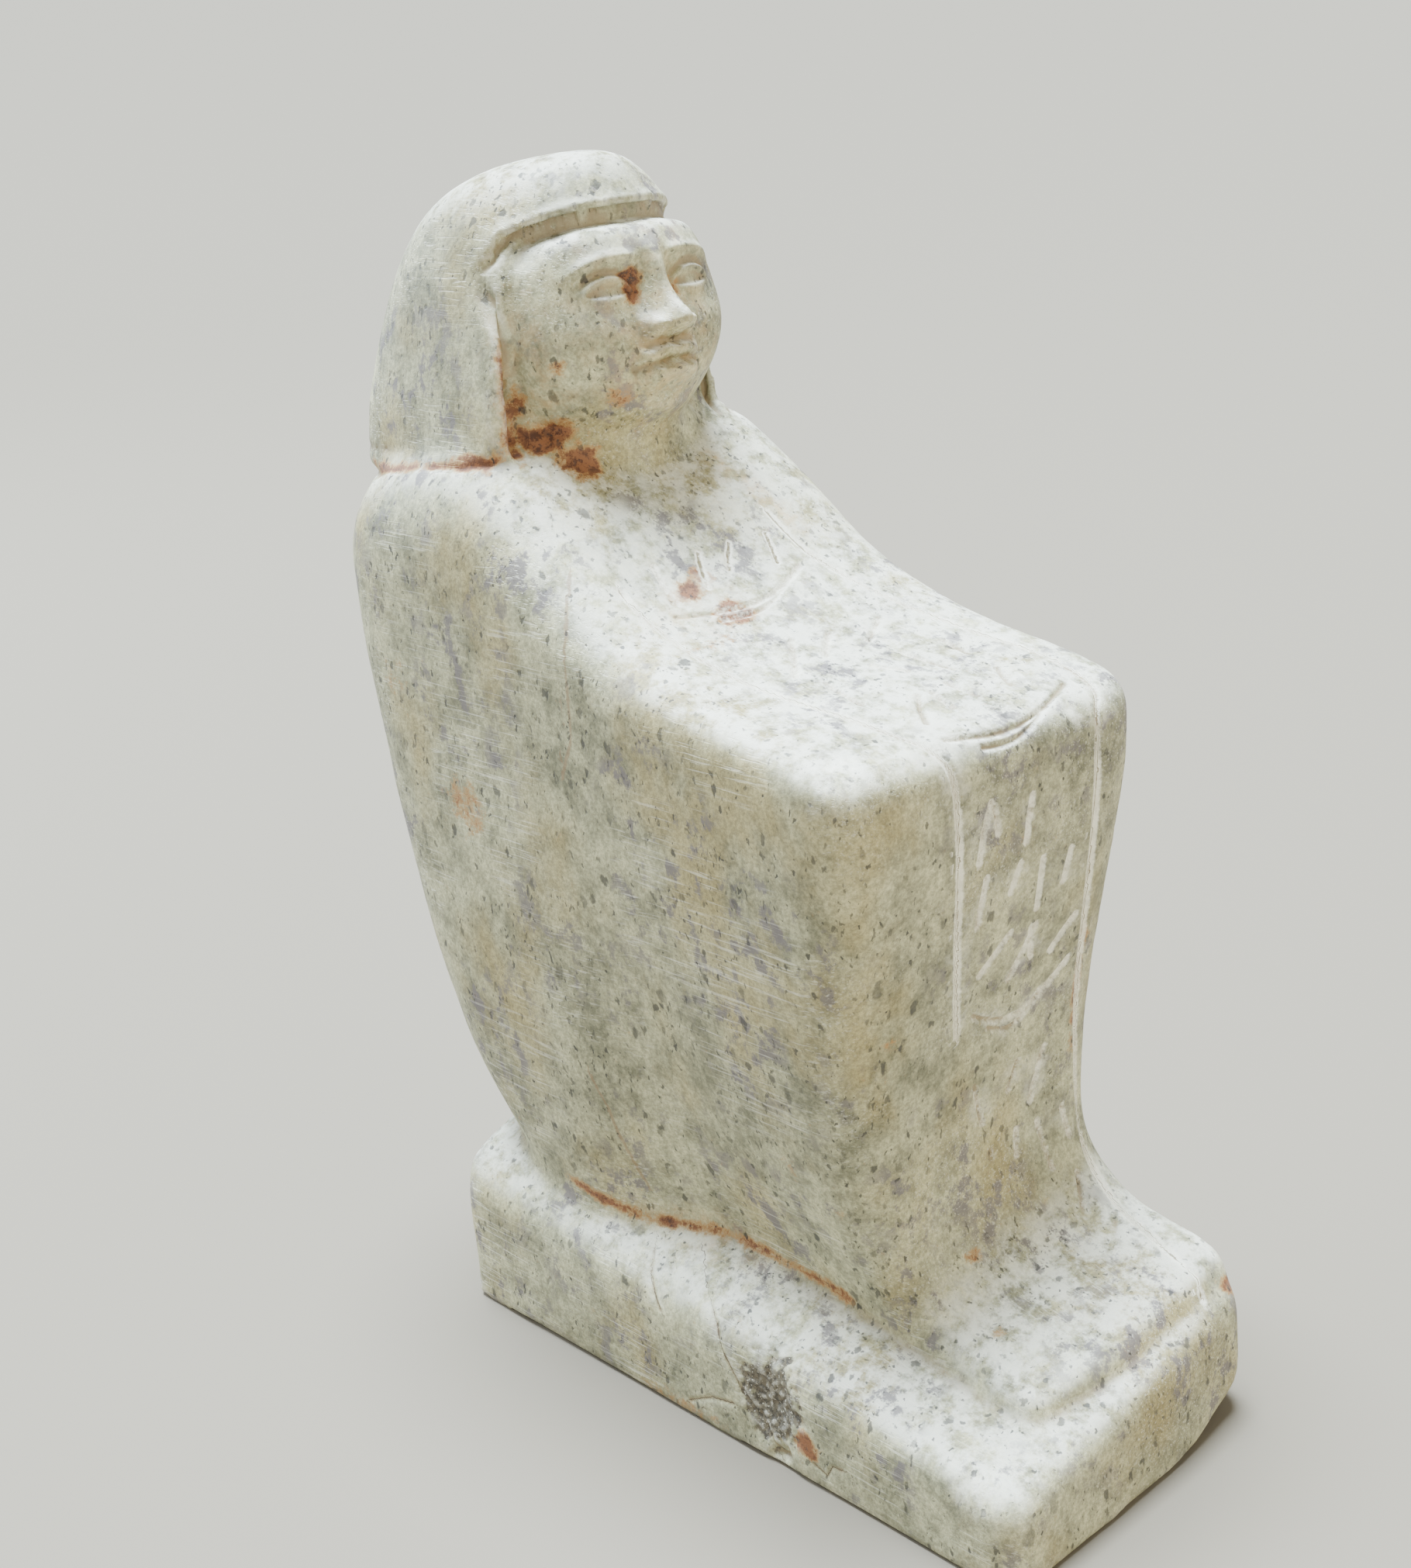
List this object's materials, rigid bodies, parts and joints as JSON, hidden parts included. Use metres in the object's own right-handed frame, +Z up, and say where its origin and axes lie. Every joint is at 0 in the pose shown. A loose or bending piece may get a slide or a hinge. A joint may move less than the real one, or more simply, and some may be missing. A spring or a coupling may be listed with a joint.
{
  "type": "block statue",
  "caption": "Small stone block statue of a squatting, cloaked figure with a plain wig on a low plinth, with a bordered band of strokes down its front.",
  "frame": {"origin": "middle of the plinth's flat underside", "axes": "+Z up, the figure looks along -Y, its right side is -X"},
  "size_m": [0.0519, 0.1188, 0.15],
  "materials": {
    "stone": "hand-rubbed matt soft stone, pale cream to grey-green, with dark specks, violet-grey clouds and rust stains in the hollows"
  },
  "bodies": {
    "root": {"block_statue": "stone"}
  },
  "joints": []
}
